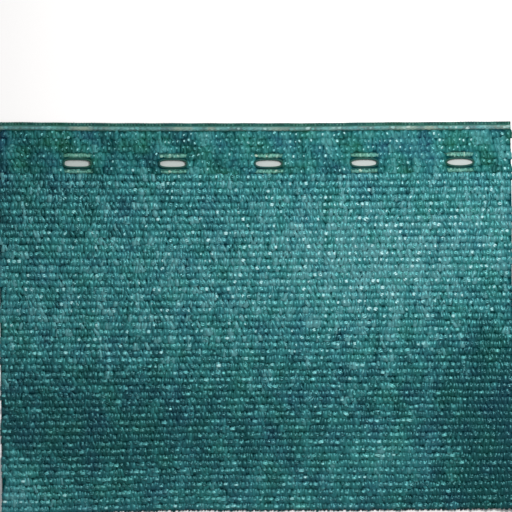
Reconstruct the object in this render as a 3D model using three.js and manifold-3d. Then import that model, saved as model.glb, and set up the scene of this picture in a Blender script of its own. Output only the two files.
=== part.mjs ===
// A cut length of privacy screening: warp-knitted plastic tape net, lying face up on a table.
// Horizontal ribs run the whole width, and the far edge is a buttonhole strip with an edge chain.
//
// Millimetres. +X runs along the ribs, +Y points to the buttonhole edge and +Z is up. The origin
// is the centre of the cloth's outline, on the table.
//
// A place on the cloth is given by "across", measured along the ribs from the cloth's middle, and
// "depth", measured down from the buttonhole edge. A cloth place turns into X, Y, Z in onCloth().
import * as THREE from 'three';
import { mergeVertices } from 'three/addons/utils/BufferGeometryUtils.js';
import Module from 'manifold-3d';

const { clamp, lerp, smoothstep } = THREE.MathUtils;

// The cloth
const clothWidth = 267;
const ribPitch = 3.706;
const ribCount = 54;
const edgeChainCentre = 2.77;
const footRibShare = 0.4;
const knitThickness = 1.0;
const ribHeight = 0.7;
const ribShoulder = 0.22;
const pieceGap = 0.3;

// The buttonhole strip
const stripRibs = 6;
const buttonholeRib = 5;
const buttonholeCount = 5;
const buttonholePitch = 50;
const middleButtonhole = 7;
const buttonholeLength = 14.4;
const buttonholeHeight = 5.0;
const buttonholeCorner = 1.6;
const bowFull = 5.5;
const bowEnd = 10.5;

// How the length lies
const ribClimb = 0.0122;
const shoulderStart = 318;
const shoulderDrift = 1.04;
const leanStart = 80;
const leanSlope = 0.013;
const drawIn = 1.3;
const drawInDepth = 55;
const footStretch = 1.0;
const footStretchStart = 150;

// How finely the pieces are divided
const panelColumns = 18;
const panelUnderRows = 12;
const chainColumns = 14;
const columnCrowding = 0.09;
const cornerSegments = 3;

const halfWidth = clothWidth / 2;
const clothDepth = ribCentre(ribCount + footRibShare);
const footLean = leanSlope * (clothDepth - leanStart);

// The buttonhole edge isn't quite straight: it hangs back by "sag" at each place "across".
const edgeSags = [
  { across: -halfWidth, sag: 0.4 },
  { across: -60, sag: 0.9 },
  { across: 25, sag: 0.9 },
  { across: 75, sag: 0.4 },
  { across: halfWidth, sag: 0.0 },
];

// The right-hand edge curls up along its lower part, and so does the left foot corner.
const rightCurl = { height: 4.5, width: 42, from: 95, to: 220 };
const cornerCurl = { height: 4.0, radius: 48 };

// The edge chain's section: a thin lip at the outside, then the raised round chain.
const chainSection = [
  { depth: 0.0, height: 0.9 },
  { depth: 1.3, height: 1.1 },
  { depth: 1.8, height: 1.9 },
  { depth: 2.6, height: 2.3 },
  { depth: 3.5, height: 2.2 },
  { depth: 4.1, height: 1.6 },
];

function ribCentre(rib) {
  return edgeChainCentre + ribPitch * rib;
}

function edgeSag(across) {
  const next = edgeSags.find((row, i) => i > 0 && across <= row.across) ?? edgeSags.at(-1);
  const last = edgeSags[edgeSags.indexOf(next) - 1];
  return lerp(last.sag, next.sag, smoothstep(across, last.across, next.across));
}

// The ribs climb from the left edge up to a shoulder, which lies further left at greater depth.
function ribRise(across, depth) {
  const shoulder = shoulderStart - shoulderDrift * depth;
  return ribClimb * depth * smoothstep(across + halfWidth, 0, shoulder);
}

// Towards the foot the cloth is a little longer in its middle, where it was cut askew.
function footGrowth(across, depth) {
  const share = clamp((depth - footStretchStart) / (clothDepth - footStretchStart), 0, 1);
  return footStretch * share * share * Math.sin(Math.PI * (across + halfWidth) / clothWidth);
}

// The foot leans to the right, and the buttonhole edge is drawn in at its right-hand end.
function sideShift(across, depth) {
  const lean = leanSlope * Math.max(0, depth - leanStart) - footLean / 2;
  const drawn = drawIn * (1 - smoothstep(depth, 0, drawInDepth)) * (across / clothWidth + 0.5);
  return lean - drawn;
}

function curl(across, depth) {
  const sideShare = clamp((across - halfWidth + rightCurl.width) / rightCurl.width, 0, 1);
  const along = clamp((depth - rightCurl.from) / (rightCurl.to - rightCurl.from), 0, 1);
  const side = rightCurl.height * sideShare ** 2 * Math.sin(Math.PI * along);
  const away = Math.hypot(across + halfWidth, clothDepth - depth);
  const corner = cornerCurl.height * clamp(1 - away / cornerCurl.radius, 0, 1) ** 2;
  return side + corner;
}

function buttonholeCentres() {
  const middle = (buttonholeCount - 1) / 2;
  return Array.from({ length: buttonholeCount },
    (_, i) => middleButtonhole + (i - middle) * buttonholePitch);
}

// The rib on each side of a buttonhole bows away from it.
function buttonholeBow(across, depth) {
  const away = depth - ribCentre(buttonholeRib);
  const reach = 1 - smoothstep(Math.abs(away), ribPitch / 2, 1.5 * ribPitch);
  const near = buttonholeCentres().reduce((sum, centre) =>
    sum + 1 - smoothstep(Math.abs(across - centre), bowFull, bowEnd), 0);
  const bow = (buttonholeHeight - ribPitch) / 2;
  return Math.sign(away) * bow * reach * near;
}

// From a place on the cloth and a height above its underside to X, Y, Z.
function onCloth(across, depth, height) {
  const sag = edgeSag(across) * (1 - depth / clothDepth);
  const down = depth + sag - ribRise(across, depth) + footGrowth(across, depth)
    + buttonholeBow(across, depth);
  return new THREE.Vector3(
    across + sideShift(across, depth),
    clothDepth / 2 - down,
    curl(across, depth) + height,
  );
}

// Rows of a ribbed face: a valley between two ribs, and the two shoulders of each rib.
function ribRows(firstRib, lastRib, start, end) {
  const rows = [{ depth: start, height: knitThickness }];
  for (let rib = firstRib; rib <= lastRib; rib += 1) {
    const centre = ribCentre(rib);
    if (rib > firstRib) rows.push({ depth: centre - ribPitch / 2, height: knitThickness });
    rows.push({ depth: centre - ribShoulder * ribPitch, height: knitThickness + ribHeight });
    rows.push({ depth: centre + ribShoulder * ribPitch, height: knitThickness + ribHeight });
  }
  rows.push({ depth: end, height: knitThickness });
  return rows;
}

// Columns across the whole width, closer together at the curled side edges.
function clothColumns(count) {
  return Array.from({ length: count + 1 }, (_, i) => {
    const share = i / count;
    return clothWidth * (share - columnCrowding * Math.sin(2 * Math.PI * share)) - halfWidth;
  });
}

function stripColumns() {
  const stops = buttonholeCentres().flatMap((centre) =>
    [-bowEnd, -bowFull, bowFull, bowEnd].map((step) => centre + step));
  return [-halfWidth, ...stops, halfWidth];
}

// Triangles between two rims that run the same way round, the upper one seen on the left.
function zipRims(faces, upper, lower) {
  let i = 0;
  let j = 0;
  while (i < upper.length - 1 || j < lower.length - 1) {
    const upperShare = (i + 1) / (upper.length - 1);
    const lowerShare = (j + 1) / (lower.length - 1);
    if (j === lower.length - 1 || (i < upper.length - 1 && upperShare <= lowerShare)) {
      faces.push(upper[i], lower[j], upper[i + 1]);
      i += 1;
    } else {
      faces.push(upper[i], lower[j], lower[j + 1]);
      j += 1;
    }
  }
}

// A closed sheet on the cloth: a face through every row and column, a plain underside and rims.
function clothSheet(rows, underDepths, columns) {
  const points = [];
  const faces = [];
  const width = columns.length;
  const addGrid = (lines, upward) => {
    const first = points.length;
    for (const line of lines) {
      for (const across of columns) points.push(onCloth(across, line.depth, line.height));
    }
    for (let i = 0; i < lines.length - 1; i += 1) {
      for (let j = 0; j < width - 1; j += 1) {
        const a = first + i * width + j;
        const b = a + width;
        if (upward) faces.push(a, b, b + 1, a, b + 1, a + 1);
        else faces.push(a, b + 1, b, a, a + 1, b + 1);
      }
    }
    const column = (j) => lines.map((_, i) => first + i * width + j);
    const row = (i) => columns.map((_, j) => first + i * width + j);
    return {
      left: column(0),
      foot: row(lines.length - 1),
      right: column(width - 1).reverse(),
      head: row(0).reverse(),
    };
  };
  const face = addGrid(rows, true);
  const under = addGrid(underDepths.map((depth) => ({ depth, height: 0 })), false);
  for (const side of ['left', 'foot', 'right', 'head']) zipRims(faces, face[side], under[side]);
  const geometry = new THREE.BufferGeometry().setFromPoints(points);
  geometry.setIndex(faces);
  return geometry;
}

function evenSteps(start, end, count) {
  return Array.from({ length: count + 1 }, (_, i) => lerp(start, end, i / count));
}

const wasm = await Module();
wasm.setup();

function toSolid(geometry) {
  const bare = geometry.clone();
  bare.deleteAttribute('normal');
  bare.deleteAttribute('uv');
  const merged = mergeVertices(bare);
  return new wasm.Manifold(new wasm.Mesh({
    numProp: 3,
    vertProperties: new Float32Array(merged.attributes.position.array),
    triVerts: new Uint32Array(merged.index.array),
  }));
}

function toGeometry(solid) {
  const { vertProperties, triVerts } = solid.getMesh();
  const geometry = new THREE.BufferGeometry();
  geometry.setAttribute('position', new THREE.BufferAttribute(vertProperties, 3));
  geometry.setIndex(new THREE.BufferAttribute(triVerts, 1));
  return geometry;
}

// The round-cornered bar that is cut out of the strip for one buttonhole.
function buttonholeCutter(across) {
  const x = buttonholeLength / 2;
  const y = buttonholeHeight / 2;
  const r = buttonholeCorner;
  const outline = new THREE.Shape();
  outline.moveTo(x - r, -y);
  outline.absarc(x - r, r - y, r, -Math.PI / 2, 0, false);
  outline.absarc(x - r, y - r, r, 0, Math.PI / 2, false);
  outline.absarc(r - x, y - r, r, Math.PI / 2, Math.PI, false);
  outline.absarc(r - x, r - y, r, Math.PI, 1.5 * Math.PI, false);
  const reach = 2 * (knitThickness + ribHeight);
  const bar = new THREE.ExtrudeGeometry(outline, {
    depth: 2 * reach,
    bevelEnabled: false,
    curveSegments: cornerSegments,
  });
  const centre = onCloth(across, ribCentre(buttonholeRib), 0);
  return bar.translate(centre.x, centre.y, -reach);
}

function screenPanel() {
  const start = ribCentre(stripRibs + 0.5) + pieceGap / 2;
  const rows = ribRows(stripRibs + 1, ribCount, start, clothDepth);
  const underDepths = evenSteps(start, clothDepth, panelUnderRows);
  return clothSheet(rows, underDepths, clothColumns(panelColumns));
}

function buttonholeStrip() {
  const start = ribCentre(0.5) + pieceGap / 2;
  const end = ribCentre(stripRibs + 0.5) - pieceGap / 2;
  const rows = ribRows(1, stripRibs, start, end);
  let solid = toSolid(clothSheet(rows, [start, end], stripColumns()));
  for (const across of buttonholeCentres()) {
    solid = solid.subtract(toSolid(buttonholeCutter(across)));
  }
  return toGeometry(solid);
}

function edgeChain() {
  const end = ribCentre(0.5) - pieceGap / 2;
  const rows = [...chainSection, { depth: end, height: knitThickness }];
  return clothSheet(rows, [0, end], clothColumns(chainColumns));
}

function tape(color, roughness) {
  return new THREE.MeshStandardMaterial({ color, roughness, metalness: 0 });
}

function piece(name, geometry, material) {
  const mesh = new THREE.Mesh(geometry, material);
  mesh.name = name;
  return mesh;
}

const screen = new THREE.Group();
screen.add(
  piece('screen_panel', screenPanel(), tape(0x2c696d, 0.4)),
  piece('buttonhole_strip', buttonholeStrip(), tape(0x265f66, 0.4)),
  piece('edge_chain', edgeChain(), tape(0x7aa19f, 0.45)),
);

export default screen;
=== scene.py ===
import math

import bpy
import numpy as np
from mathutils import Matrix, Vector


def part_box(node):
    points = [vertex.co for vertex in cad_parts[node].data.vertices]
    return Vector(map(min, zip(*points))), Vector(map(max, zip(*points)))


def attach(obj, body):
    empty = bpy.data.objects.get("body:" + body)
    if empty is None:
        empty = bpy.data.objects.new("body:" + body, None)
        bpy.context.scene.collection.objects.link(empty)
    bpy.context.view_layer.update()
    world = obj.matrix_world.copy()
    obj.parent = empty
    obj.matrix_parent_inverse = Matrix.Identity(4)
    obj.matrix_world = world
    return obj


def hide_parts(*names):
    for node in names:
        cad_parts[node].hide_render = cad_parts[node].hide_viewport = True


# A cut length of knitted privacy net lies face up on a pale table, with its buttonhole edge at the
# back. Shapes are worked out in millimetres and put into the meshes in metres.

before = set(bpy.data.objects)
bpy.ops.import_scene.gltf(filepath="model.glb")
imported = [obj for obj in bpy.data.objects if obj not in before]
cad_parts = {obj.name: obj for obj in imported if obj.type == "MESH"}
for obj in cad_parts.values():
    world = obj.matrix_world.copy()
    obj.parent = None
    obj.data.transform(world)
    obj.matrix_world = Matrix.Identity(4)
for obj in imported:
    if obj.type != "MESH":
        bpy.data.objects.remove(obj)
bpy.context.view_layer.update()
MM = 0.001


# The table, the lights and the camera.
# The camera looks straight down through a long lens, so that the picture has no visible
# perspective. A soft light hangs over the upper right, and the pale room lights the rest.
PICTURE_WIDTH = 267.3
PICTURE_CENTRE = (-0.7, 31.9)
CAMERA_HEIGHT = 1800.0
SENSOR_WIDTH = 36.0
FARTHEST_SEEN = 20.0

camera_data = bpy.data.cameras.new("camera")
camera_data.sensor_width = SENSOR_WIDTH
camera_data.lens = SENSOR_WIDTH * CAMERA_HEIGHT / PICTURE_WIDTH
camera_data.clip_end = FARTHEST_SEEN
camera = bpy.data.objects.new("camera", camera_data)
camera.location = (PICTURE_CENTRE[0] * MM, PICTURE_CENTRE[1] * MM, CAMERA_HEIGHT * MM)
bpy.context.scene.collection.objects.link(camera)
bpy.context.scene.camera = camera
bpy.context.scene.view_settings.view_transform = "Standard"


def add_area_light(name, place, aim, size, watts, colour):
    """A square area light at place, in metres, that faces the point aim."""
    data = bpy.data.lights.new(name, "AREA")
    data.size = size
    data.energy = watts
    data.color = colour
    lamp = bpy.data.objects.new(name, data)
    lamp.location = place
    away = np.array(place) - np.array(aim)
    lamp.rotation_euler = (
        math.atan2(math.hypot(away[0], away[1]), away[2]),
        0,
        math.atan2(away[0], -away[1]),
    )
    bpy.context.scene.collection.objects.link(lamp)


add_area_light(
    "key_light",
    place=(0.13, 0.16, 0.38),
    aim=(0.08, 0.05, 0),
    size=0.13,
    watts=2.9,
    colour=(1, 1, 1),
)
add_area_light(
    "back_light",
    place=(-0.30, 0.55, 0.60),
    aim=(-0.05, 0.1, 0),
    size=0.5,
    watts=2.0,
    colour=(0.97, 0.99, 1),
)

ROOM_COLOUR = (0.95, 0.98, 1, 1)
ROOM_STRENGTH = 0.68
room = bpy.data.worlds.new("room")
room.use_nodes = True
room.node_tree.nodes["Background"].inputs["Color"].default_value = ROOM_COLOUR
room.node_tree.nodes["Background"].inputs["Strength"].default_value = ROOM_STRENGTH
bpy.context.scene.world = room

# The table top, in metres, is a frame of four faces round a narrow strip behind the buttonholes,
# which is painted a darker grey: painted shade of the cloth, seen through the buttonholes.
TABLE_HALF = 1.6
SHADED_CENTRE = 0.08
SHADED_HALF = (0.12, 0.008)
SQUARE = ((-1, -1), (1, -1), (1, 1), (-1, 1))
TABLE_COLOURS = {"table_paint": (0.51, 0.497, 0.49, 1), "painted_shade_paint": (0.25, 0.27, 0.26, 1)}

table_corners = [(x * TABLE_HALF, y * TABLE_HALF, 0) for x, y in SQUARE]
strip_corners = [(x * SHADED_HALF[0], SHADED_CENTRE + y * SHADED_HALF[1], 0) for x, y in SQUARE]
table_faces = [(0, 1, 5, 4), (1, 2, 6, 5), (2, 3, 7, 6), (3, 0, 4, 7), (4, 5, 6, 7)]
table_mesh = bpy.data.meshes.new("table_top")
table_mesh.from_pydata(table_corners + strip_corners, [], table_faces)
# The strip takes the darker paint, which is painted shade.
table_mesh.polygons[len(table_faces) - 1].material_index = 1
for name, colour in TABLE_COLOURS.items():
    paint = bpy.data.materials.new(name)
    paint.use_nodes = True
    shader = paint.node_tree.nodes["Principled BSDF"]
    shader.inputs["Base Color"].default_value = colour
    shader.inputs["Roughness"].default_value = 0.8
    shader.inputs["Specular IOR Level"].default_value = 0.2
    table_mesh.materials.append(paint)
table_top = bpy.data.objects.new("table_top", table_mesh)
bpy.context.scene.collection.objects.link(table_top)


# The panel's ground: the back layer of the net.
# Flat tapes laid in behind the ribs close the net from behind. They are one thin dark sheet here,
# raised under each rib, and it carries the folds and the lie of the whole length. Its dark colour
# is partly the back tapes' own and partly painted shade, and it is painted darker in the gaps
# between ribs than under them.
CLOTH_WIDTH = 267.0
HALF_WIDTH = CLOTH_WIDTH / 2
CLOTH_DEPTH = 2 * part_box("edge_chain")[1][1] / MM
CUT_MARGIN = 0.2

EDGE_CHAIN_CENTRE = 2.77
RIB_PITCH = 3.706
RIB_COUNT = 54
STRIP_RIBS = 6
ROWS_PER_RIB = 4

BUTTONHOLE_SPACING = 50.0
BUTTONHOLE_PLACES = 7.0 + BUTTONHOLE_SPACING * np.arange(-2, 3)
BUTTONHOLE_RIB = 5
BUTTONHOLE_LENGTH = 14.4
BUTTONHOLE_HEIGHT = 5.0
STITCH_PITCH = BUTTONHOLE_SPACING / 18
STITCH_COUNT = 96

# The ribs bow fully within the first distance of a buttonhole's centre, and not past the second.
BOW_REACH = (5.5, 10.5)

# The buttonhole edge hangs back by these amounts at these places, and is drawn in at its right end.
EDGE_SAG_PLACES = (-HALF_WIDTH, -60, 25, 75, HALF_WIDTH)
EDGE_SAGS = (0.4, 0.9, 0.9, 0.4, 0.0)
DRAWN_IN = 0.8
DRAWN_IN_DEPTH = 55

# The ribs climb by a share of their depth, up to a shoulder that comes sooner towards the foot.
RIB_CLIMB = 0.0122
SHOULDER_AT_EDGE = 318
SHOULDER_SHIFT = 1.04

# The foot leans right, and its middle grows longer than its ends.
LEAN_START = 80
FOOT_LEAN = 0.013
GROWTH_START = 150
FOOT_GROWTH = 1.0

# The right edge lifts over part of the depth, and the left foot corner towards its tip.
RIGHT_LIFT = 4.5
RIGHT_LIFT_WIDTH = 42
RIGHT_LIFT_START = 95
RIGHT_LIFT_LENGTH = 125
CORNER_LIFT = 4.0
CORNER_REACH = 48


def rib_depth(rib):
    """How far below the buttonhole edge a rib's centre line lies."""
    return EDGE_CHAIN_CENTRE + RIB_PITCH * rib


def rib_crest(depth):
    """1 on a rib's centre line and -1 half way between two ribs, as a cosine of the depth."""
    return np.cos(2 * np.pi * (depth - EDGE_CHAIN_CENTRE) / RIB_PITCH)


def places_across(count):
    """Evenly spaced places from just past one cut edge to just past the other."""
    return np.linspace(-HALF_WIDTH - CUT_MARGIN, HALF_WIDTH + CUT_MARGIN, count)[None, :]


def smooth(value, low, high):
    """0 below low, 1 above high, and 3t^2 - 2t^3 between them."""
    t = np.clip((value - low) / (high - low), 0, 1)
    return t * t * (3 - 2 * t)


def edge_sag(across):
    """The sags of the buttonhole edge at their places, joined by smooth steps."""
    sag = np.full(np.shape(across), EDGE_SAGS[0], dtype=float)
    for i in range(1, len(EDGE_SAGS)):
        step = EDGE_SAGS[i] - EDGE_SAGS[i - 1]
        sag += step * smooth(across, EDGE_SAG_PLACES[i - 1], EDGE_SAG_PLACES[i])
    return sag


def curl(across, depth):
    """The right edge rises as a square times half a sine along the depth, the left corner as a
    square of the nearness to it."""
    side_share = np.clip((across - HALF_WIDTH + RIGHT_LIFT_WIDTH) / RIGHT_LIFT_WIDTH, 0, 1)
    along = np.clip((depth - RIGHT_LIFT_START) / RIGHT_LIFT_LENGTH, 0, 1)
    away = np.hypot(across + HALF_WIDTH, CLOTH_DEPTH - depth)
    corner = CORNER_LIFT * np.clip(1 - away / CORNER_REACH, 0, 1) ** 2
    return RIGHT_LIFT * side_share**2 * np.sin(np.pi * along) + corner


def from_buttonhole(across):
    """How far to the right of the nearest buttonhole's centre each place lies."""
    away = across[..., None] - BUTTONHOLE_PLACES
    nearest = np.abs(away).argmin(axis=-1)[..., None]
    return np.take_along_axis(away, nearest, axis=-1)[..., 0]


def buttonhole_bow(across, depth):
    """Ribs beside a buttonhole bow away from it by the same step on both sides, and the broken
    rib between them spreads evenly."""
    ribs_away = (depth - rib_depth(BUTTONHOLE_RIB)) / RIB_PITCH
    near_down = 1 - smooth(np.abs(ribs_away), 0.5, 1.5)
    near_across = 1 - smooth(np.abs(from_buttonhole(across)), *BOW_REACH)
    step = (BUTTONHOLE_HEIGHT - RIB_PITCH) / 2
    return np.clip(2 * ribs_away, -1, 1) * step * near_down * near_across


def on_cloth(across, depth, height):
    """X, Y and Z of a place on the cloth: across along the ribs, depth below the buttonhole edge.
    X leans right with the depth and is drawn in near the edge. Y falls with the depth, the sag
    and the foot's growth, a square times half a sine, and rises with the ribs' climb, a smooth
    step up to the shoulder. Z is the curl and the height."""
    across, depth, height = np.broadcast_arrays(across, depth, height)
    shoulder = SHOULDER_AT_EDGE - SHOULDER_SHIFT * depth
    rise = RIB_CLIMB * depth * smooth(across + HALF_WIDTH, 0, shoulder)
    foot_share = np.clip((depth - GROWTH_START) / (CLOTH_DEPTH - GROWTH_START), 0, 1)
    growth = FOOT_GROWTH * foot_share**2 * np.sin(np.pi * (across + HALF_WIDTH) / CLOTH_WIDTH)
    sag = edge_sag(across) * (1 - depth / CLOTH_DEPTH)
    lean = FOOT_LEAN * (np.maximum(0, depth - LEAN_START) - (CLOTH_DEPTH - LEAN_START) / 2)
    drawn = DRAWN_IN * (1 - smooth(depth, 0, DRAWN_IN_DEPTH)) * (across / CLOTH_WIDTH + 0.5)
    x = across + lean - drawn
    y = CLOTH_DEPTH / 2 - (depth + sag - rise + growth + buttonhole_bow(across, depth))
    return np.stack([x, y, curl(across, depth) + height], axis=-1)


def add_mesh(name, points, faces, material, shade, uv):
    """A mesh object at the origin from points in millimetres and faces with four sides each.
    shade is one number and uv one pair for each point."""
    mesh = bpy.data.meshes.new(name)
    flat = points.reshape(-1, 3) * MM
    mesh.vertices.add(len(flat))
    mesh.vertices.foreach_set("co", flat.ravel())
    mesh.loops.add(faces.size)
    mesh.loops.foreach_set("vertex_index", faces.ravel())
    mesh.polygons.add(len(faces))
    mesh.polygons.foreach_set("loop_start", np.arange(0, faces.size, 4))
    mesh.polygons.foreach_set("loop_total", np.full(len(faces), 4))
    mesh.polygons.foreach_set("use_smooth", np.ones(len(faces), dtype=bool))
    layer = mesh.attributes.new("shade", "FLOAT", "POINT")
    layer.data.foreach_set("value", np.ascontiguousarray(shade, dtype=float).ravel())
    layer = mesh.uv_layers.new(name="along_tape")
    layer.data.foreach_set("uv", uv.reshape(-1, 2)[faces.ravel()].ravel())
    mesh.update(calc_edges=True)
    mesh.validate()
    mesh.materials.append(material)
    made = bpy.data.objects.new(name, mesh)
    bpy.context.scene.collection.objects.link(made)
    return made


def closed_sheet(name, across, depth, top_height, low_height, shade, material, keep=None):
    """A thin sheet from a grid of cloth places: a top and an underside, with walls wherever a
    kept cell has no kept neighbour, so round the rim and round every hole. Its film is mapped in
    centimetres."""
    across, depth, shade = np.broadcast_arrays(across, depth, shade)
    rows, columns = across.shape
    if keep is None:
        keep = np.ones((rows - 1, columns - 1), dtype=bool)
    top = on_cloth(across, depth, top_height).reshape(-1, 3)
    bottom = on_cloth(across, depth, low_height).reshape(-1, 3)
    index = np.arange(rows * columns).reshape(rows, columns)
    a, b, c, d = index[:-1, :-1], index[1:, :-1], index[1:, 1:], index[:-1, 1:]
    upper_faces = np.stack([a, b, c, d], axis=-1)[keep]
    lower_faces = np.stack([a, d, c, b], axis=-1)[keep] + len(top)
    faces = [upper_faces, lower_faces]
    padded = np.pad(keep, 1)
    sides = (
        (a, b, padded[1:-1, :-2]),
        (b, c, padded[2:, 1:-1]),
        (c, d, padded[1:-1, 2:]),
        (d, a, padded[:-2, 1:-1]),
    )
    for first, last, neighbour in sides:
        p, q = first[keep & ~neighbour], last[keep & ~neighbour]
        faces.append(np.stack([p, p + len(top), q + len(top), q], axis=-1))
    used, faces = np.unique(np.concatenate(faces), return_inverse=True)
    points = np.concatenate([top, bottom])[used]
    uv = np.stack([across / 10, depth / 10], axis=-1).reshape(-1, 2)
    uv = np.concatenate([uv, uv])[used]
    shades = np.concatenate([shade.ravel(), shade.ravel()])[used]
    return add_mesh(name, points, faces.reshape(-1, 4), material, shades, uv)


def add_node(material, kind, **settings):
    """A new shader node. Each setting names one of its inputs, with _ for a space."""
    node = material.node_tree.nodes.new(kind)
    for name, value in settings.items():
        node.inputs[name.replace("_", " ")].default_value = value
    return node


def tape_material(name, dark, light, roughness, gloss, gloss_red, stretch, hue_swing):
    """Stretched plastic film. Its colour runs from dark to light with each tape's own shade, and
    loses its red faster than the rest on the way down. Its hue drifts between bluer and greener
    patches, which show most where it is dark. Fine lines along the film are bump."""
    material = bpy.data.materials.new(name)
    material.use_nodes = True
    link = material.node_tree.links.new
    shader = material.node_tree.nodes["Principled BSDF"]
    shader.inputs["Specular IOR Level"].default_value = gloss
    shader.inputs["Specular Tint"].default_value = (gloss_red, 0.97, 1, 1)

    shade = add_node(material, "ShaderNodeAttribute")
    shade.attribute_name = "shade"
    ramp = add_node(material, "ShaderNodeValToRGB")
    ramp.color_ramp.elements[0].color = (*dark, 1)
    ramp.color_ramp.elements[1].color = (*light, 1)
    middle = ramp.color_ramp.elements.new(0.6)
    middle.color = (0.25 * light[0], 0.6 * light[1], 0.6 * light[2], 1)
    link(shade.outputs["Fac"], ramp.inputs["Fac"])

    place = add_node(material, "ShaderNodeTexCoord")
    drift = add_node(material, "ShaderNodeTexNoise", Scale=62, Detail=2)
    link(place.outputs["Object"], drift.inputs["Vector"])
    swing = add_node(
        material,
        "ShaderNodeMapRange",
        From_Min=0.3,
        From_Max=0.7,
        To_Min=-hue_swing,
        To_Max=hue_swing,
    )
    link(drift.outputs["Fac"], swing.inputs["Value"])
    darkness = add_node(material, "ShaderNodeMath")
    darkness.operation = "SUBTRACT"
    darkness.use_clamp = True
    darkness.inputs[0].default_value = 1
    link(shade.outputs["Fac"], darkness.inputs[1])
    # The hue input stands at 0.5 where the hue stays as it is.
    turned = add_node(material, "ShaderNodeMath")
    turned.operation = "MULTIPLY_ADD"
    turned.inputs[2].default_value = 0.5
    link(swing.outputs["Result"], turned.inputs[0])
    link(darkness.outputs["Value"], turned.inputs[1])
    tint = add_node(material, "ShaderNodeHueSaturation")
    link(turned.outputs["Value"], tint.inputs["Hue"])
    link(ramp.outputs["Color"], tint.inputs["Color"])
    link(tint.outputs["Color"], shader.inputs["Base Color"])

    film = add_node(material, "ShaderNodeUVMap")
    film.uv_map = "along_tape"
    sizing = add_node(material, "ShaderNodeMapping", Scale=stretch)
    link(film.outputs["UV"], sizing.inputs["Vector"])
    lines = add_node(material, "ShaderNodeTexNoise", Scale=1, Detail=2)
    link(sizing.outputs["Vector"], lines.inputs["Vector"])
    bump = add_node(material, "ShaderNodeBump", Strength=0.35, Distance=0.0002)
    link(lines.outputs["Fac"], bump.inputs["Height"])
    link(bump.outputs["Normal"], shader.inputs["Normal"])
    rough = add_node(
        material, "ShaderNodeMapRange", To_Min=roughness - 0.1, To_Max=roughness + 0.12
    )
    link(lines.outputs["Fac"], rough.inputs["Value"])
    link(rough.outputs["Result"], shader.inputs["Roughness"])
    return material


ground_film = tape_material(
    "ground_film",
    dark=(0.0005, 0.02, 0.023),
    light=(0.002, 0.05, 0.055),
    roughness=0.75,
    gloss=0.1,
    gloss_red=0.2,
    stretch=(60, 3, 1),
    hue_swing=0.05,
)

PANEL_START = rib_depth(STRIP_RIBS + 0.5)
PANEL_END = CLOTH_DEPTH - 0.05
panel_rows = ROWS_PER_RIB * (RIB_COUNT - STRIP_RIBS) + 1
depth = np.linspace(PANEL_START, PANEL_END, panel_rows)[:, None]
panel_ground = closed_sheet(
    "panel_ground",
    places_across(STITCH_COUNT + 1),
    depth,
    top_height=0.36 + 0.14 * rib_crest(depth),
    low_height=0.09 + 0.07 * rib_crest(depth),
    # Painted shade: darker in the gaps between ribs than under them.
    shade=0.4 + 0.3 * rib_crest(depth),
    material=ground_film,
)
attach(panel_ground, "root")
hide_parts("screen_panel")


# The panel's laid-in tapes.
# Each is a flat stretched tape that lies over a rib and dives into the gap on each side of it, to
# cross to the next rib. Two pass every stitch, one leaning each way, and they roll and crumple.
TAPE_THICK = 0.2
TAPE_REACH = 0.56
TAPE_STATIONS = 6
RIB_STAGGER = 0.5
STITCH_CUT_MARGIN = 1.2

# How far the tapes stay inside the cut edges and the foot, and reach under the edge chain.
TAPE_CUT_MARGIN = 0.3
TAPE_FOOT_MARGIN = 0.4
TAPE_EDGE_OVERLAP = 0.2

# The tapes lie calmer at the foot and in the strip: by how much, and between which depths.
FOOT_CALM = 0.6
FOOT_CALM_DEPTHS = (100, 170)
STRIP_CALM = 0.7
STRIP_CALM_DEPTHS = (18, 32)

# Neighbours lean, sink and shade alike over patches of these sizes.
LEAN_PATCH = 30
SINK_PATCH = 5
SHADE_PATCH = 14

# The least height of a strand's middle above the table, and half the thickness it keeps there.
STRAND_FLOOR = 0.08
STRAND_FLOOR_HALF = 0.05

# Painted light and shade: these soft patches colour the tapes and loops lighter or darker,
# following how the light falls across the lying net, lightest towards the upper right and darkest
# on the lifted right edge. Listed are the places of these soft patches, how far they reach and how
# much they change the shade.
PAINTED_LIGHT_PATCHES = (
    {"across": -108, "depth": 160, "reach": (66, 32), "shade": -0.45},
    {"across": 130, "depth": 157, "reach": (32, 58), "shade": -0.85},
    {"across": 100, "depth": 198, "reach": (40, 12), "shade": -0.3},
    {"across": 75, "depth": 72, "reach": (85, 36), "shade": 0.3},
    {"across": 45, "depth": 32, "reach": (60, 15), "shade": -0.15},
    {"across": -126, "depth": 190, "reach": (17, 20), "shade": 0.35},
    {"across": 70, "depth": 177, "reach": (38, 14), "shade": 0.3},
    {"across": 10, "depth": 160, "reach": (190, 44), "shade": -0.36},
    {"across": 0, "depth": 12, "reach": (400, 4.5), "shade": -0.1},
    {"across": 80, "depth": 12, "reach": (75, 9), "shade": 0.2},
    {"across": -120, "depth": 36, "reach": (60, 30), "shade": -0.38},
)


def painted_light_and_shade(across, depth):
    """The painted light and shade: the sum of the patches, each a Gaussian of the distance from its
    centre.
    """
    total = 0
    for patch in PAINTED_LIGHT_PATCHES:
        reach_across, reach_depth = patch["reach"]
        away_across = (across - patch["across"]) / reach_across
        away_depth = (depth - patch["depth"]) / reach_depth
        total = total + patch["shade"] * np.exp(-(away_across**2 + away_depth**2))
    return total


def slow_drift(across, depth, size, rng):
    """A slow random value, mostly within 1 of 0: 2.4 times the mean of six sine waves in random
    directions, whose wavelengths lie near size."""
    value = 0
    for _ in range(6):
        heading = rng.uniform(0, np.pi)
        wave = 2 * np.pi / (size * rng.uniform(0.7, 1.5))
        run = across * np.cos(heading) + depth * np.sin(heading)
        value = value + np.sin(wave * run + rng.uniform(0, 2 * np.pi)) / 6
    return 2.4 * value


def unit(arrows):
    """Arrows scaled to length 1."""
    return arrows / np.linalg.norm(arrows, axis=-1, keepdims=True)


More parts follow.
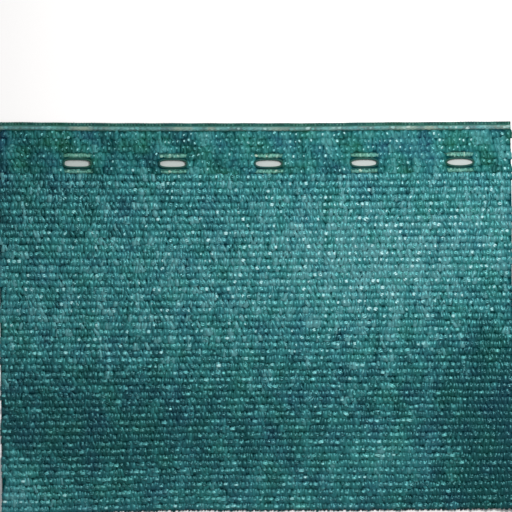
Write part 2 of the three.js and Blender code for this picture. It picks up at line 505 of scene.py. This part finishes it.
def many_strands(centre, roll, half_width, half_thick, ring=False):
    """Closed strands with four sides, all at once, along centre lines given as points for every
    strand and station. The side arrow is level and square to the strand, then turns by roll. A
    ring has no ends: its last station joins its first. The table stops what would dip below it."""
    count, stations = centre.shape[:2]
    if ring:
        along = unit(np.roll(centre, -1, axis=1) - np.roll(centre, 1, axis=1))
    else:
        along = unit(np.gradient(centre, axis=1))
    level = unit(np.cross(along, (0, 0, 1)))
    normal = np.cross(level, along)
    cosine, sine = np.cos(roll)[..., None], np.sin(roll)[..., None]
    side = ((cosine * level + sine * normal) * half_width[..., None])[:, :, None]
    lift = ((cosine * normal - sine * level) * half_thick[..., None])[:, :, None]
    corner = np.array([(1, 1), (-1, 1), (-1, -1), (1, -1)])
    points = centre[:, :, None] + side * corner[:, :1] + lift * corner[:, 1:]
    floor = STRAND_FLOOR + STRAND_FLOOR_HALF * corner[:, 1]
    points[..., 2] = np.maximum(points[..., 2], floor)

    index = np.arange(count * stations * 4).reshape(count, stations, 4)
    start, after = index[:, :-1], index[:, 1:]
    if ring:
        start, after = index, np.roll(index, -1, axis=1)
    next_start, next_after = np.roll(start, -1, axis=2), np.roll(after, -1, axis=2)
    walls = np.stack([start, after, next_after, next_start], axis=-1)
    ends = [] if ring else [index[:, 0], index[:, -1, ::-1]]
    faces = np.concatenate([walls.reshape(-1, 4), *ends])

    # Each strand reads a part of the film's pattern that no other does.
    own = np.arange(count)[:, None, None] * 1.37
    u = np.broadcast_to(np.linspace(0, 1, stations)[None, :, None], index.shape) + own
    v = np.broadcast_to(np.array([1.0, 0, 0, 1])[None, None], index.shape) + own
    return points, faces, np.stack([u, v], axis=-1)


def add_strands(name, centre, roll, half_width, half_thick, shade, material, ring=False):
    """A mesh of many strands; roll, widths and shade may be one number or one for each station."""
    shape = centre.shape[:2]
    roll, half_width, half_thick, shade = (
        np.broadcast_to(value, shape) for value in (roll, half_width, half_thick, shade)
    )
    points, faces, uv = many_strands(centre, roll, half_width, half_thick, ring)
    shade = np.broadcast_to(shade[..., None], points.shape[:3])
    return add_mesh(name, points, faces, material, shade, uv)


def stitch_places(ribs, rng, shake):
    """The rib number and the place across of every stitch of these ribs, each shaken at random.
    Each rib's stitches start a little further left than those of the rib above."""
    rib, stitch = np.meshgrid(ribs, np.arange(STITCH_COUNT), indexing="ij")
    rib, stitch = rib.ravel().astype(float), stitch.ravel()
    shift = (-RIB_STAGGER * rib) % STITCH_PITCH
    across = -HALF_WIDTH + stitch * STITCH_PITCH + shift + shake * rng.standard_normal(len(rib))
    cut = HALF_WIDTH - STITCH_CUT_MARGIN
    return rib, np.clip(across, -cut, cut)


def laid_tapes(name, rib, across, material, rng, width, high, low, shade, blotch):
    """Two tapes over every stitch. t is the way from the rib in rib pitches, and its stations
    crowd towards the gaps as a sine. The height falls from high to low with the fourth power
    of 2t, so that a tape is level on its rib, and some bridge the gap high up. blotch is how
    much the shade drifts. In the strip and at the foot the tapes lie calmer."""
    sign = np.repeat([1.0, -1.0], len(rib))[:, None]
    depth = rib_depth(np.tile(rib, 2)[:, None])
    across = np.tile(across, 2)[:, None] + 0.25 * STITCH_PITCH * sign
    noise = rng.standard_normal((10, len(sign), 1))
    lean_noise, bend_noise, cut_noise, place_noise, height_noise = noise[:5]
    roll_noise, twist_noise, width_noise, shade_noise, sink_noise = noise[5:]
    calm_foot = FOOT_CALM * smooth(depth, *FOOT_CALM_DEPTHS)
    calm_strip = STRIP_CALM * (1 - smooth(depth, *STRIP_CALM_DEPTHS))
    lively = 1 - calm_foot - calm_strip

    t = TAPE_REACH * np.sin(np.linspace(-np.pi / 2, np.pi / 2, TAPE_STATIONS))[None, :]
    drift = slow_drift(across, depth, LEAN_PATCH, rng)
    lean = 0.6 * sign + 0.6 * lean_noise * lively + 0.5 * drift
    places = across + lean * t + 0.25 * bend_noise * np.sin(2 * np.pi * t)
    cut = HALF_WIDTH - TAPE_CUT_MARGIN
    places = np.clip(places, -cut, cut + 0.1 * cut_noise)
    down = depth + RIB_PITCH * (t + 0.06 * place_noise)
    down = np.clip(down, rib_depth(0.5) - TAPE_EDGE_OVERLAP, CLOTH_DEPTH - TAPE_FOOT_MARGIN)

    belly = 1 - np.clip(np.abs(2 * t), 0, 1) ** 4
    top = high * (1 + 0.1 * height_noise * lively) - 0.05 * (1 - sign)
    sink = 0.8 * slow_drift(across, depth, SINK_PATCH, rng) + 0.3 * sink_noise
    gap = np.clip(low - 0.25 * sink, 0.25, top)
    centre = on_cloth(places, down, gap * (1 - belly) + top * belly)
    roll = (0.15 * roll_noise + 0.4 * twist_noise * t) * lively * (0.4 + 0.6 * belly)
    half = 0.5 * width * (1 + 0.2 * width_noise) * (0.9 + 0.1 * belly)

    # About one tape in ten is painted much paler, as painted glints on the film, and a tape is
    # painted darker as it sinks into the gap, as painted shade.
    pale = 0.5 * (shade_noise > 1.3)
    own = (0.13 * shade_noise + pale) * lively - (0.3 + 0.5 * sink) * (1 - belly)
    # The patches add the painted light and shade, and blotch adds a random tone.
    patches = painted_light_and_shade(across, depth) + blotch * slow_drift(across, depth, SHADE_PATCH, rng)
    return add_strands(name, centre, roll, half, TAPE_THICK / 2, shade + own + patches, material)


laid_film = tape_material(
    "laid_film",
    dark=(0.0005, 0.019, 0.022),
    light=(0.041, 0.121, 0.128),
    roughness=0.38,
    gloss=0.5,
    gloss_red=0.3,
    stretch=(2, 6, 1),
    hue_swing=0.05,
)
panel_ribs = np.arange(STRIP_RIBS + 1, RIB_COUNT + 1)
rng = np.random.default_rng(11)
for part, ribs in enumerate(np.array_split(panel_ribs, 3)):
    rib, across = stitch_places(ribs, rng, shake=0.2)
    tapes = laid_tapes(
        f"panel_tapes_{part + 1}",
        rib,
        across,
        laid_film,
        rng,
        width=2.2,
        high=1.12,
        low=0.56,
        shade=0.6,
        blotch=0.16,
    )
    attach(tapes, "root")


# The panel's rib chains.
# Every rib is a chain of looped stitches in narrow folded tape, each loop drawn through the one
# before it. The loops stand proud and catch the light, and some are painted lighter as painted
# glints, so that each shows as a light dot, and towards the foot they are drawn out longer and
# narrower.
LOOP_STATIONS = 8
LOOP_OFFSET = 0.1 * RIB_PITCH
LOOP_CUT_MARGIN = 0.2
LOOP_EDGE_MARGIN = 0.3
GLINT_PATCH = 9
DRAWN_OUT_DEPTHS = (90, 150)


def rib_chains(name, rib, across, material, rng, vary, foot, arch, half, length, yarn, shade):
    """A teardrop loop for every stitch: along goes out and back as one minus a cosine, across as a
    sine that widens to the head, and the legs arch up from foot by arch, as half a sine, between
    ends sunk among the tapes. half is the loop's half width, yarn the yarn's size, and vary how
    much the loops differ in size. Some are painted lighter, as painted glints, and all take the
    painted light and shade of the patches."""
    rib, across = rib[:, None], across[:, None]
    noise = rng.standard_normal((6, len(rib), 1))
    size_noise, tilt_noise, place_noise, glint_noise, shade_noise, roll_noise = noise
    turn = 2 * np.pi * np.linspace(0.04, 0.96, LOOP_STATIONS)[None, :]
    out = (1 - np.cos(turn)) / 2
    size = np.clip(1 + vary * size_noise, 0.4, 1.6)
    along = length * size * (out - 0.5)
    wide = half * np.minimum(size, 1) * np.sin(turn) * (0.6 + 0.6 * out)
    tilt = 0.5 * tilt_noise
    cut = HALF_WIDTH - LOOP_CUT_MARGIN
    places = np.clip(across + along - tilt * wide, -cut, cut)
    depth = rib_depth(rib) - LOOP_OFFSET + wide + tilt * along * 0.4 + 0.2 * place_noise
    down = np.clip(depth, LOOP_EDGE_MARGIN, CLOTH_DEPTH - LOOP_CUT_MARGIN)
    height = foot + arch * size * np.sin(np.pi * np.clip(1.15 * out - 0.05, 0, 1))
    centre = on_cloth(places, down, height)
    # Painted highlights: some loops are coloured lighter as painted glints, in patches.
    drift = slow_drift(across, depth, GLINT_PATCH, rng)
    painted_glint = np.clip(0.36 * (glint_noise + 0.2) + 0.2 * drift, 0, 0.5)
    own = shade + 0.1 * shade_noise + painted_glint + 0.7 * painted_light_and_shade(across, rib_depth(rib))
    half_width = 0.35 * yarn * size
    return add_strands(name, centre, 0.5 * roll_noise, half_width, 0.25 * yarn, own, material)


chain_film = tape_material(
    "chain_film",
    dark=(0.001, 0.03, 0.034),
    light=(0.23, 0.37, 0.375),
    roughness=0.26,
    gloss=0.7,
    gloss_red=0.4,
    stretch=(3, 4, 1),
    hue_swing=0.04,
)
for part, ribs in enumerate(np.array_split(panel_ribs, 2)):
    rib, across = stitch_places(ribs, rng, shake=0.22)
    drawn_out = smooth(rib_depth(rib), *DRAWN_OUT_DEPTHS)[:, None]
    chains = rib_chains(
        f"panel_chains_{part + 1}",
        rib,
        across,
        chain_film,
        rng,
        vary=0.36,
        foot=0.7,
        arch=0.6,
        half=0.42 - 0.12 * drawn_out,
        length=1.2 + 0.9 * drawn_out,
        yarn=0.85,
        shade=0.35 - 0.08 * drawn_out,
    )
    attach(chains, "root")


# The buttonhole strip.
# The last six ribs before the edge are knitted closer and flatter, in the same tapes. One rib is
# broken off at each buttonhole, and the ribs on either side bow round the opening.
STRIP_START = rib_depth(0.5)
STRIP_END = PANEL_START
HOLE_DEPTH = rib_depth(BUTTONHOLE_RIB)
HOLE_HALF = BUTTONHOLE_LENGTH / 2
HOLE_STATIONS = 13

# Distances from a buttonhole's centre: where the grid's ordinary columns and the whole stitches
# start, and the place at its end that the stitches in reach of it move to.
GRID_CLEARANCE = 8.1
STITCH_CLEARANCE = 7.95
END_STITCH = 8.75
END_STITCH_REACH = (7.0, 9.8)

strip_film = tape_material(
    "strip_film",
    dark=(0.0005, 0.021, 0.022),
    light=(0.03, 0.115, 0.115),
    roughness=0.5,
    gloss=0.3,
    gloss_red=0.3,
    stretch=(2, 6, 1),
    hue_swing=0.1,
)
strip_chain_film = tape_material(
    "strip_chain_film",
    dark=(0.001, 0.03, 0.032),
    light=(0.22, 0.37, 0.37),
    roughness=0.26,
    gloss=0.7,
    gloss_red=0.4,
    stretch=(3, 4, 1),
    hue_swing=0.05,
)
hole_columns = (BUTTONHOLE_PLACES[:, None] + HOLE_HALF * np.linspace(-1, 1, HOLE_STATIONS)).ravel()
between = places_across(STITCH_COUNT + 1)[0]
between = between[np.abs(from_buttonhole(between)) >= GRID_CLEARANCE]
across = np.sort(np.concatenate([between, hole_columns]))[None, :]
depth = np.linspace(STRIP_START, STRIP_END, ROWS_PER_RIB * STRIP_RIBS + 1)[:, None]
crest = rib_crest(depth)
end_share = np.abs(from_buttonhole(across)) / HOLE_HALF
cell_share = (end_share[:, :-1] + end_share[:, 1:]) / 2
cell_depth = (depth[:-1] + depth[1:]) / 2
in_hole = (cell_share < 1) & (np.abs(cell_depth - HOLE_DEPTH) < RIB_PITCH / 2)
# The hole is nearly an ellipse: its two long sides come together towards its ends.
squeeze = 0.2 + 0.75 * (1 - np.clip(end_share, 0, 1) ** 2.5) ** 0.4
squeezed = (end_share < 1.01) & (np.abs(depth - HOLE_DEPTH) < 0.51 * RIB_PITCH)
depth = np.where(squeezed, HOLE_DEPTH + (depth - HOLE_DEPTH) * squeeze, depth)
strip_ground = closed_sheet(
    "strip_ground",
    across,
    depth,
    top_height=0.42 + 0.1 * crest,
    low_height=0.08 + 0.06 * crest,
    # Painted shade: darker in the gaps between ribs than under them.
    shade=0.45 + 0.25 * crest,
    material=ground_film,
    keep=~in_hole,
)

rib, across = stitch_places(np.arange(1, STRIP_RIBS + 1), rng, shake=0.4)
away = from_buttonhole(across)
by_buttonhole = np.abs(rib - BUTTONHOLE_RIB) < 1.5
in_reach = (np.abs(away) > END_STITCH_REACH[0]) & (np.abs(away) < END_STITCH_REACH[1])
across = across + (by_buttonhole & in_reach) * (END_STITCH * np.sign(away) - away)
whole = ~(by_buttonhole & (np.abs(from_buttonhole(across)) < STITCH_CLEARANCE))
strip_tapes = laid_tapes(
    "strip_tapes",
    rib[whole],
    across[whole],
    strip_film,
    rng,
    width=2.4,
    high=1.0,
    low=0.7,
    shade=0.5,
    blotch=0.28,
)
strip_chains = rib_chains(
    "strip_chains",
    rib[whole] + 0.12 * rng.standard_normal(whole.sum()),
    across[whole],
    strip_chain_film,
    rng,
    vary=0.3,
    foot=0.75,
    arch=0.5,
    half=0.34,
    length=0.8,
    yarn=0.75,
    shade=0.35,
)
for made in (strip_ground, strip_tapes, strip_chains):
    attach(made, "root")
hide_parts("buttonhole_strip")


# The yarns round the buttonholes.
# A dark yarn binds the rim of every buttonhole. Above and below it the broken rib's neighbours are
# worked in a paler yarn over a flat pale band, and plain dark yarns run along the bands.
green_yarn = tape_material(
    "green_yarn",
    dark=(0.03, 0.1, 0.08),
    light=(0.22, 0.3, 0.24),
    roughness=0.5,
    gloss=0.3,
    gloss_red=0.8,
    stretch=(8, 3, 1),
    hue_swing=0.03,
)
dark_yarn = tape_material(
    "dark_yarn",
    dark=(0.005, 0.03, 0.024),
    light=(0.035, 0.095, 0.075),
    roughness=0.6,
    gloss=0.12,
    gloss_red=0.7,
    stretch=(8, 3, 1),
    hue_swing=0.05,
)

# One plain yarn runs along the outer side of each band, and a third between the lower band and
# the hole. side is -1 above the hole and 1 below it, and lane the place beside the band's rib.
HOLES = len(BUTTONHOLE_PLACES)
PLAIN_HALF = 8.4
t = np.linspace(-1, 1, 17)[None, :]
place = np.repeat(BUTTONHOLE_PLACES, 3)[:, None]
side = np.tile([-1.0, 1.0, 1.0], HOLES)[:, None]
lane = np.tile([-1.05, -0.85, 1.05], HOLES)[:, None]
outer = np.abs(lane) > 1
shift_noise, height_noise = rng.standard_normal((2, len(place), 1))
plain = on_cloth(
    place + PLAIN_HALF * t + 0.3 * shift_noise,
    rib_depth(BUTTONHOLE_RIB + side) + lane * (1 - 0.4 * t**4),
    0.8 + 0.1 * height_noise - 0.3 * t**6 - 0.25 * outer,
)
plain_yarns = add_strands(
    "plain_yarns",
    plain,
    roll=0,
    half_width=np.where(outer, 0.42, 0.4),
    half_thick=0.26,
    shade=np.where(outer, 0.75, 0.4) + 0.2 * shift_noise,
    material=dark_yarn,
)

# The bands are ragged: their height, width, shade and roll differ from station to station. They
# narrow towards their ends, and each drifts in shade on its own.
BAND_HALF = 7.5
BAND_SHIFT = 0.8
t = np.linspace(-1, 1, 31)[None, :]
place = np.repeat(BUTTONHOLE_PLACES, 2)[:, None]
side = np.tile([-1.0, 1.0], HOLES)[:, None]
height_noise, width_noise, shade_noise, roll_noise = rng.standard_normal((4, 2 * HOLES, 31))
band = on_cloth(
    place + BAND_HALF * t - BAND_SHIFT * side,
    rib_depth(BUTTONHOLE_RIB + 1.02 * side + 0.04),
    0.75 - 0.15 * t**4 + 0.04 * height_noise,
)
band_half_width = (1.07 - 0.03 * side) * (1 - 0.7 * t**4) + 0.15 * width_noise
band_drift = slow_drift(7.9 * t, 20 * place, 3, rng)
pale_bands = add_strands(
    "pale_bands",
    band,
    roll=0.25 * roll_noise,
    half_width=np.maximum(0.15, band_half_width),
    half_thick=0.2,
    shade=0.36 + 0.2 * band_drift + 0.25 * shade_noise - 0.3 * t**2,
    material=green_yarn,
)

replaced = ~whole & (np.abs(rib - BUTTONHOLE_RIB) > 0.5)
pale_rib = rib[replaced]
buttonhole_chains = rib_chains(
    "buttonhole_chains",
    pale_rib + 0.12,
    across[replaced],
    green_yarn,
    rng,
    vary=0.3,
    foot=0.65,
    arch=0.35,
    half=np.where(pale_rib > BUTTONHOLE_RIB, 0.5, 0.42)[:, None],
    length=1.2,
    yarn=0.9,
    shade=0.5,
)

# The rims are squarer towards the left of the strip, and more pinched towards the right: each is
# an ellipse whose cosine and sine are raised to the pinch.
RIM_HALF_LENGTH = 7.2
RIM_HALF_HEIGHT = 1.63
turn = np.linspace(0, 2 * np.pi, 48, endpoint=False)[None, :]
pinch = np.linspace(0.6, 0.9, HOLES)[:, None]
pinched_cosine = np.sign(np.cos(turn)) * np.abs(np.cos(turn)) ** pinch
pinched_sine = np.sign(np.sin(turn)) * np.abs(np.sin(turn)) ** pinch
rims = on_cloth(
    BUTTONHOLE_PLACES[:, None] + RIM_HALF_LENGTH * pinched_cosine,
    HOLE_DEPTH + RIM_HALF_HEIGHT * pinched_sine,
    0.9,
)
buttonhole_rims = add_strands(
    "buttonhole_rims",
    rims,
    roll=0,
    half_width=0.5,
    half_thick=0.7,
    shade=0.05,
    material=dark_yarn,
    ring=True,
)
for made in (plain_yarns, pale_bands, buttonhole_chains, buttonhole_rims):
    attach(made, "root")


# The edge chain.
# The net's outer edge is a close chain of paler, thicker yarn over a narrow tape that is turned
# under, and whose fold shows as a thin dark lip.
EDGE_START = 0.15
BULGE_START = 0.9
BULGE_WIDTH = 3.6
EDGE_YARN_CENTRE = EDGE_CHAIN_CENTRE + 0.27
EDGE_YARN_SPREAD = 0.71
LIP_TOOTH_PITCH = 1.35

pale_yarn = tape_material(
    "pale_yarn",
    dark=(0.03, 0.075, 0.072),
    light=(0.21, 0.3, 0.29),
    roughness=0.45,
    gloss=0.3,
    gloss_red=0.9,
    stretch=(8, 3, 1),
    hue_swing=0.03,
)
# Weather has turned patches of the yarn beige.
nodes = pale_yarn.node_tree.nodes
link = pale_yarn.node_tree.links.new
worn = add_node(pale_yarn, "ShaderNodeTexNoise", Scale=60)
link(nodes["Texture Coordinate"].outputs["Object"], worn.inputs["Vector"])
amount = add_node(pale_yarn, "ShaderNodeMapRange", From_Min=0.5, From_Max=0.7)
link(worn.outputs["Fac"], amount.inputs["Value"])
beige = add_node(pale_yarn, "ShaderNodeMix")
beige.data_type = "RGBA"
beige.inputs["B"].default_value = (0.15, 0.185, 0.14, 1)
link(amount.outputs["Result"], beige.inputs["Factor"])
link(nodes["Hue/Saturation/Value"].outputs["Color"], beige.inputs["A"])
link(beige.outputs["Result"], nodes["Principled BSDF"].inputs["Base Color"])

# The tape under the chain bulges as half a sine across it, and is painted darker where it is low,
# as painted shade in the groove beside the chain.
depth = np.linspace(EDGE_START, STRIP_START, 9)[:, None]
body = np.sin(np.pi * np.clip((depth - BULGE_START) / BULGE_WIDTH, 0, 1))
edge_ground = closed_sheet(
    "edge_ground",
    places_across(STITCH_COUNT + 1),
    depth,
    top_height=0.5 + 0.5 * body,
    low_height=0.06,
    shade=0.4 + 0.4 * body,
    material=dark_yarn,
)

# The lip is two strands whose place wavers with the teeth of the fold, and which fray.
stations = places_across(801)
teeth = 0.08 * np.sin(2 * np.pi * stations / LIP_TOOTH_PITCH) + 0.05 * np.sin(stations / 3.1)
lip_depth = np.array([0.42, 1.05])[:, None] + teeth
lip_height = np.array([0.5, 0.75])[:, None]
fray = slow_drift(stations, 3 * lip_depth, 1.6, rng)
lip_drift = slow_drift(stations, 3 * lip_depth, 5, rng)
edge_lip = add_strands(
    "edge_lip",
    on_cloth(stations, lip_depth, lip_height),
    roll=0.3 * fray,
    half_width=0.36 + 0.05 * fray,
    half_thick=0.22,
    shade=0.3 + 4 * teeth + 0.3 * lip_drift + 0.6 * fray,
    material=dark_yarn,
)

# Five yarns run along the chain and sway with its stitches, the middle one highest. The outer ones
# are painted darker than the middle one, as painted shade on the chain's rounded sides.
stations = places_across(241)
lane = np.array([-1.0, -0.5, 0.0, 0.5, 1.0])[:, None]
sway = 2 * np.pi * stations / STITCH_PITCH
yarn_depth = EDGE_YARN_CENTRE + EDGE_YARN_SPREAD * lane + 0.1 * np.sin(sway + 3 * lane)
yarn_height = 1.5 - 0.45 * lane**2 + 0.1 * np.sin(sway + 2 * lane)
edge_yarns = add_strands(
    "edge_yarns",
    on_cloth(stations, yarn_depth, yarn_height),
    roll=0,
    half_width=0.22,
    half_thick=0.2,
    shade=0.35 - 0.2 * np.abs(lane) + 0.3 * slow_drift(stations, 0, 12, rng),
    material=pale_yarn,
)
rib, across = stitch_places(np.array([0.15]), rng, shake=0.25)
edge_stitches = rib_chains(
    "edge_stitches",
    rib,
    across,
    pale_yarn,
    rng,
    vary=0.2,
    foot=1.3,
    arch=0.4,
    half=0.34,
    length=2.2,
    yarn=0.75,
    shade=0.34,
)
for made in (edge_ground, edge_lip, edge_yarns, edge_stitches):
    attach(made, "root")
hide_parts("edge_chain")
